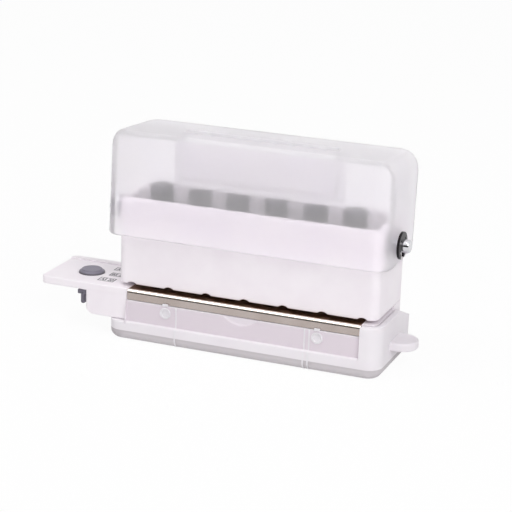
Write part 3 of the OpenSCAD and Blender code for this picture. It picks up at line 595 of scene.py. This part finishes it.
def printed(name, words, low, high):
    """Flat words printed on the arm in a frame, drawn to fill a rectangle of the plan in millimetres."""
    line, room, bold, lift = 0.24, 0.45, 0.03, 0.015
    curve = bpy.data.curves.new(name, "FONT")
    curve.body = words
    curve.offset = bold
    drawn = bpy.data.objects.new(name + "_drawn", curve)
    bpy.context.scene.collection.objects.link(drawn)
    bpy.context.view_layer.update()
    mesh = bpy.data.meshes.new_from_object(drawn.evaluated_get(bpy.context.evaluated_depsgraph_get()))
    bpy.data.objects.remove(drawn)
    bpy.data.curves.remove(curve)
    points = np.empty(len(mesh.vertices) * 3)
    mesh.vertices.foreach_get("co", points)
    points = points.reshape(-1, 3)
    start, size = points.min(axis=0)[:2], np.ptp(points, axis=0)[:2]
    low, high = np.array(low), np.array(high)
    points[:, :2] = low + room + (points[:, :2] - start) / size * (high - low - 2 * room)
    points[:, 2] = 0
    letters = [list(face.vertices) for face in mesh.polygons]
    bpy.data.meshes.remove(mesh)
    points, faces = joined((points, letters), frame_lines(low, high, line))
    mesh = bpy.data.meshes.new(name)
    mesh.from_pydata((points * MM + (0, 0, JAW + lift * MM)).tolist(), [], faces)
    mesh.materials.append(print_ink)
    made = bpy.data.objects.new(name, mesh)
    bpy.context.scene.collection.objects.link(made)
    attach(made, "gauge")


piece("arm_moulding", arm_shell(), "gauge", white, ["gauge_arm"])
piece("button_moulding", button_shell(), "button", grey_plastic, ["gauge_button"])
printed("mark_large_sheet", "A4 30", (-38.1, 0.55), (-34.0, 3.0))
printed("mark_middle_sheet", "B5 26", (-37.3, -3.75), (-33.2, -1.3))
printed("mark_small_sheet", "A5 20", (-38.2, -8.2), (-34.1, -5.6))


# Chip tray

TRAY_X, TRAY_Y, TRAY_EDGE, TRAY_WALL = 33.65, 12.3, 2.0, 1.3
TRAY_MOUTH, TRAY_INNER, CHIP_FLOOR = 32.35, -10.6, 1.4
PANEL_X, PANEL_Z, PANEL_TOP, PANEL_RECESS = 28.85, 4.75, 9.85, 0.7
PANEL_FACE = PANEL_RECESS - TRAY_Y


def tray_top(y, wall):
    """Height of the tray's side outline, drawn in by a wall: level, then a line down to the round rear shoulder."""
    start, centre, radius = np.array([3.5, 12.25 - wall]), np.array([9.7, 6.9]), 2.6 - wall
    reach = start - centre
    turn = math.atan2(reach[1], reach[0]) - math.acos(radius / np.hypot(*reach))
    touch = centre + radius * np.array([math.cos(turn), math.sin(turn)])
    line = start[1] + (touch[1] - start[1]) * (y - start[0]) / (touch[0] - start[0])
    arc = centre[1] + np.sqrt(np.maximum(radius ** 2 - (y - centre[0]) ** 2, 0))
    return np.where(y < start[0], start[1], np.where(y < touch[0], line, arc))


def smooth(share):
    """Smooth step 3 t^2 - 2 t^3 of a share held between 0 and 1."""
    share = np.clip(share, 0, 1)
    return share ** 2 * (3 - 2 * share)


def tray_shell():
    """Hollow tray in millimetres: round bottom edges, a recessed front panel with a thumb scoop, and a rear roof.

    Rings of the same outline points rise outside to each point's rim, cross the rim to the mouth and go down
    inside. A point's rim is the side outline's height there, or lower at the panel and below the gauge arm.
    """
    high = np.array([TRAY_X, TRAY_Y])
    low = -high
    corners, soft, step, blend = np.array([3.5, 3.5, 2.0, 2.0]), 0.2, 0.3, 0.25
    cut_x, cut_y, cut_z = -28.7, 6.8, 4.6
    scoop_half, scoop_h, scoop_depth = 4.5, 1.9, 0.4
    mouth_rear, inner_rear, floor_round, mouth_drop = 9.05, 11.0, 0.5, 0.95 * TRAY_WALL
    front_corner, mouth_corner, rear_corner, floor_corners = 2.2, 0.3, 0.7, (1.7, 0.4)
    below_step, below_rim = 0.35, 0.8
    corner_steps, side_steps = 9, 200
    scoop_r = (scoop_half ** 2 + scoop_h ** 2) / (2 * scoop_h)

    def outline(inset):
        radii = np.maximum(corners - inset, TINY / MM)
        return rounded_outline(low + inset, high - inset, radii, corner_steps, side_steps)[0]

    def inner(inset, rear, front_r, rear_r):
        reach = TRAY_MOUTH - inset
        radii = (front_r, front_r, rear_r, rear_r)
        return rounded_outline((-reach, TRAY_INNER + inset), (reach, rear), radii, corner_steps, side_steps)[0]

    plain = outline(0)
    panel = (np.abs(plain[:, 0]) < PANEL_X) & (plain[:, 1] < 0)
    below_arm = (plain[:, 0] < cut_x) & (plain[:, 1] < cut_y)
    rim = np.where(panel, PANEL_TOP, np.where(below_arm, cut_z, high[1]))

    def height(points, wall=0):
        return np.minimum(tray_top(points[:, 1], wall), rim - wall)

    def outside(inset, z):
        points = outline(inset)
        away = np.hypot(points[:, 0], z - (PANEL_TOP - scoop_h + scoop_r))
        scoop = scoop_depth * smooth((scoop_r - away) / blend)
        points[:, 1] += np.where(panel, PANEL_RECESS * smooth((z - PANEL_Z) / step + 0.5) + scoop, 0)
        return ring(points, z)

    rings = [outside(TRAY_EDGE * (1 - math.sin(a)), np.full(len(plain), TRAY_EDGE * (1 - math.cos(a))))
             for a in quarter(7)]
    top = height(plain) - soft
    start = np.minimum(PANEL_Z - below_step, top - below_rim)
    step_shares, wall_shares = [0, 0.03, 0.05, 0.07, 0.09, 0.12], np.linspace(0.2, 1, 17)
    for share in np.concatenate([step_shares, wall_shares]):
        rings.append(outside(0, start + share * (top - start)))
    for a in quarter()[1:]:
        inset = soft * (1 - math.cos(a))
        rings.append(outside(inset, height(outline(inset)) - soft * (1 - math.sin(a))))
    mouth = inner(0, mouth_rear, front_corner, mouth_corner)
    outer = rings[-1][:, :2]
    for share in np.sin(quarter(10))[1:]:
        points = outer + share * (mouth - outer)
        rings.append(ring(points, height(points)))
    inside = inner(0, inner_rear, front_corner, rear_corner)
    floor = inner(floor_round, inner_rear - floor_round, *floor_corners)
    rings += [ring(mouth, height(mouth) - mouth_drop), ring(inside, height(inside, TRAY_WALL)),
              ring(inside, CHIP_FLOOR + floor_round), ring(floor, CHIP_FLOOR)]
    tab_half, tab_end, tab_low, tab_high, tab_soft = 4.0, 39.15, 4.9, 6.9, 0.45
    tab_root, tab_corners = TRAY_X - TRAY_WALL / 2, np.array([0.1, tab_half, tab_half, 0.1])
    tab = slab((tab_root, -tab_half, tab_low), (tab_end, tab_half, tab_high), tab_corners, tab_soft)
    points, faces = joined(loft(rings), tab)
    return points * MM, faces


def upright_rib(middle, width):
    """Rib through the front wall, in millimetres: a side view whose front follows the wall, carried along X."""
    proud, back, top, step_low, step_high = 0.04, -10.5, 9.75, 4.5, 4.85
    reach, first_angle, bend_steps = TRAY_EDGE + proud, 0.2, 7
    bend = np.linspace(first_angle, math.pi / 2, bend_steps)
    bottom = np.column_stack([TRAY_EDGE - TRAY_Y - reach * np.sin(bend), TRAY_EDGE - reach * np.cos(bend)])
    wall, panel = -TRAY_Y - proud, PANEL_FACE - proud
    side = np.concatenate([bottom, [(wall, step_low), (panel, step_high), (panel, top), (back, top),
                                    (back, bottom[0, 1])]])
    ends = [np.column_stack([np.full(len(side), x), side]) for x in (middle + width / 2, middle - width / 2)]
    return loft(ends)


def round_pad(middle):
    """Raised ring on the panel with a shallow dish, turned about Y, in millimetres."""
    dish_r, outer_r, soft, middle_z = 0.85, 1.4, 0.1, 8.05
    dish, shoulder, proud, root = 0.02, 0.18, 0.22, 0.3
    profile = [(dish_r, -dish), (dish_r + soft, -shoulder), (dish_r + 2 * soft, -proud),
               (outer_r - 1.5 * soft, -proud), (outer_r - soft / 2, -shoulder), (outer_r, 0), (outer_r, root)]
    return turned(profile, (middle, PANEL_FACE, middle_z), "y")


def panel_shells():
    """Pads with a small catch over each, in one shell, and the ribs, one left and a pair right, in another."""
    pad_x, rib_x, rib_t = 18.75, (-16.0, 15.75, 16.9), 0.35
    catch_half, catch_low, catch_high, catch_soft, catch_proud, catch_root = 0.7, 9.75, 10.35, 0.12, 0.25, 0.2
    catch_front, catch_rear = PANEL_FACE - catch_proud, PANEL_FACE + catch_root
    pads = []
    for middle in (-pad_x, pad_x):
        pads += [round_pad(middle),
                 slab((middle - catch_half, catch_front, catch_low), (middle + catch_half, catch_rear, catch_high),
                      catch_soft, catch_soft)]
    ribs = [upright_rib(middle, rib_t) for middle in rib_x]
    return [(points * MM, faces) for points, faces in (joined(*pads), joined(*ribs))]


piece("tray_moulding", tray_shell(), "tray", milky, ["chip_tray"])
pad_shell, rib_shell = panel_shells()
piece("panel_pads", pad_shell, "tray", pad_plastic)
piece("panel_ribs", rib_shell, "tray", pad_plastic)


# Shaft and springs

def shaft_shell():
    """Rod turned about the X axis, with rounded ends and a groove for each clip."""
    low, high = span("press_shaft")
    radius, groove_r, groove_in, groove_w, soft = np.array([1.5, 1.15, 34.5, 0.7, 0.4]) * MM
    end = high[0]
    groove_out = groove_in + groove_w
    half = [(radius, groove_in), (groove_r, groove_in), (groove_r, groove_out), (radius, groove_out)]
    half += [(radius - soft * (1 - math.cos(a)), end - soft * (1 - math.sin(a))) for a in quarter()]
    profile = [(r, -x) for r, x in half[::-1]] + half
    return turned(profile, (0, (low[1] + high[1]) / 2, (low[2] + high[2]) / 2), "x")


def spring_piece(name, body, wire, turns):
    """Smooth wire spring in the place of a node, on a mesh of its own."""
    low, high = span(name)
    middle = ((low[0] + high[0]) / 2, (low[1] + high[1]) / 2, low[2])
    height = high[2] - low[2]
    shell = coil(middle, (high[0] - low[0]) / 2 - wire, wire, height, turns)
    made = piece(name + "_wire", shell, body, bright_steel, [name], sharp=60)
    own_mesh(made)


piece("shaft_rod", shaft_shell(), "press", bright_steel, ["press_shaft"])
for number in range(1, PIN_COUNT + 1):
    spring_piece(f"return_spring_{number}", "frame", wire=0.35 * MM, turns=5.5)
spring_piece("button_spring", "gauge", wire=0.15 * MM, turns=2)


# Floor, light and camera

def plain_rays(tree):
    """Share that is 1 for rays from the camera and from glossy or clear surfaces, and 0 for the rest."""
    path = tree.nodes.new("ShaderNodeLightPath")
    total = path.outputs["Is Camera Ray"]
    for kind in ("Is Glossy Ray", "Is Transmission Ray"):
        either = tree.nodes.new("ShaderNodeMath")
        either.operation = "MAXIMUM"
        tree.links.new(total, either.inputs[0])
        tree.links.new(path.outputs[kind], either.inputs[1])
        total = either.outputs[0]
    return total


def studio(ambient, floor_glow):
    """White sweep under soft even light: plain rays see white, and the others an ambient level."""
    scene = bpy.context.scene
    scene.view_settings.view_transform = "Standard"
    world = bpy.data.worlds.new("soft_room")
    scene.world = world
    world.use_nodes = True
    tree = world.node_tree
    back = tree.nodes["Background"]
    back.inputs["Color"].default_value = (1, 1, 1, 1)
    level = tree.nodes.new("ShaderNodeMapRange")
    level.inputs["To Min"].default_value = ambient
    level.inputs["To Max"].default_value = 1.0
    tree.links.new(plain_rays(tree), level.inputs["Value"])
    tree.links.new(level.outputs["Result"], back.inputs["Strength"])

    mesh = bpy.data.meshes.new("floor")
    reach = 3.0
    mesh.from_pydata([(-reach, -reach, 0), (reach, -reach, 0), (reach, reach, 0), (-reach, reach, 0)], [],
                     [(0, 1, 2, 3)])
    floor = bpy.data.objects.new("floor", mesh)
    scene.collection.objects.link(floor)
    paper = bpy.data.materials.new("white_sweep")
    paper.use_nodes = True
    tree = paper.node_tree
    tree.nodes.clear()
    out = tree.nodes.new("ShaderNodeOutputMaterial")
    diffuse = tree.nodes.new("ShaderNodeBsdfDiffuse")
    diffuse.inputs["Color"].default_value = (0.92, 0.92, 0.92, 1)
    glow = tree.nodes.new("ShaderNodeEmission")
    mix = tree.nodes.new("ShaderNodeMixShader")
    share = tree.nodes.new("ShaderNodeMath")
    share.operation = "MULTIPLY"
    share.inputs[1].default_value = floor_glow
    tree.links.new(plain_rays(tree), share.inputs[0])
    tree.links.new(share.outputs[0], mix.inputs["Fac"])
    tree.links.new(diffuse.outputs[0], mix.inputs[1])
    tree.links.new(glow.outputs[0], mix.inputs[2])
    tree.links.new(mix.outputs[0], out.inputs["Surface"])
    mesh.materials.append(paper)


def dark_card():
    """Dark card far in front, which only shiny surfaces mirror, as a thin line along round edges."""
    left, right, away, top = -1.4, 0.8, -0.9, 0.55
    mesh = bpy.data.meshes.new("dark_card")
    mesh.from_pydata([(left, away, 0), (right, away, 0), (right, away, top), (left, away, top)], [], [(0, 1, 2, 3)])
    card = bpy.data.objects.new("dark_card", mesh)
    bpy.context.scene.collection.objects.link(card)
    card.visible_camera = card.visible_diffuse = card.visible_transmission = card.visible_shadow = False
    cloth = finish("dark_card_cloth", tone(40, 38, 38), tone(30, 28, 28), (0.8, 0.9))
    mesh.materials.append(cloth)


def lamp(name, place, aim, size, power):
    """Square soft box at a place, turned to its aim."""
    data = bpy.data.lights.new(name, "AREA")
    data.size = size
    data.energy = power
    made = bpy.data.objects.new(name, data)
    bpy.context.scene.collection.objects.link(made)
    made.location = place
    made.rotation_euler = (Vector(place) - Vector(aim)).to_track_quat("Z", "Y").to_euler()


def camera():
    """Camera at the photograph's distance, turn, height and tilt."""
    turn, height, tilt = np.radians([21.11, 17.06, 1.91])
    place = np.array([138.31, -361.01, 140.16]) * MM
    back = np.array([math.sin(turn) * math.cos(height), -math.cos(turn) * math.cos(height), math.sin(height)])
    right = np.array([math.cos(turn), math.sin(turn), 0])
    up = np.cross(back, right)
    matrix = np.eye(4)
    matrix[:3, :3] = np.column_stack([math.cos(tilt) * right + math.sin(tilt) * up,
                                      math.cos(tilt) * up - math.sin(tilt) * right, back])
    matrix[:3, 3] = place
    data = bpy.data.cameras.new("camera")
    data.lens = 122.2
    data.sensor_width = 36
    data.clip_start = 0.01
    made = bpy.data.objects.new("camera", data)
    bpy.context.scene.collection.objects.link(made)
    made.matrix_world = Matrix(matrix.tolist())
    bpy.context.scene.camera = made


studio(ambient=0.44, floor_glow=0.95)
dark_card()
lamp("key_box", place=(0.43, -0.43, 0.46), aim=(0, 0, 0.02), size=0.35, power=2.45)
lamp("top_box", place=(-0.27, -0.23, 0.74), aim=(0, 0, 0.02), size=0.4, power=1.8)
camera()
